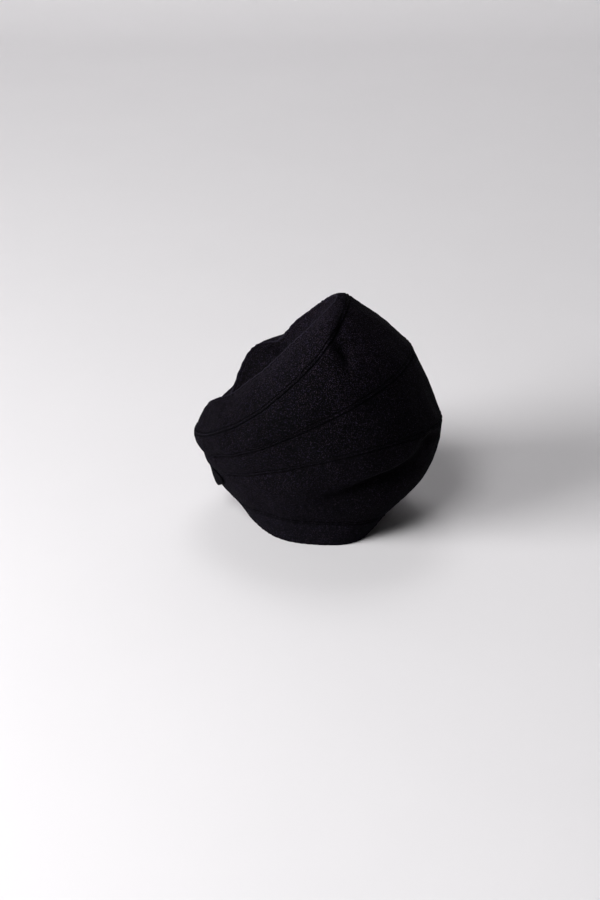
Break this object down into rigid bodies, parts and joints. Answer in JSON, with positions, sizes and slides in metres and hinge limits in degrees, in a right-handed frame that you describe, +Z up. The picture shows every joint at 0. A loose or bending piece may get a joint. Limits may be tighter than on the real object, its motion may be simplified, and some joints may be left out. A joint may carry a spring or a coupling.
{
  "type": "wool cap",
  "caption": "Soft black wool cap sewn from cloth strips that wrap round it on a slant, with a low upright band and a peaked crown that is dented behind its ridge.",
  "frame": {"origin": "middle of the cap's box, on the surface that the rim stands on", "axes": "+Z up, -Y towards the picture's viewer, +X to the viewer's right, where the cap is tallest"},
  "size_m": [0.2666, 0.2588, 0.2496],
  "materials": {
    "fulled_wool": "fulled wool cloth with a short soft nap",
    "band_wool": "fulled wool cloth, folded double"
  },
  "bodies": {
    "root": {"hem_band": "band_wool", "lower_panel": "fulled_wool", "wrap_strip_1": "fulled_wool", "wrap_strip_2": "fulled_wool", "wrap_strip_3": "fulled_wool", "crown_panel": "fulled_wool", "side_tab": "fulled_wool"}
  },
  "joints": []
}
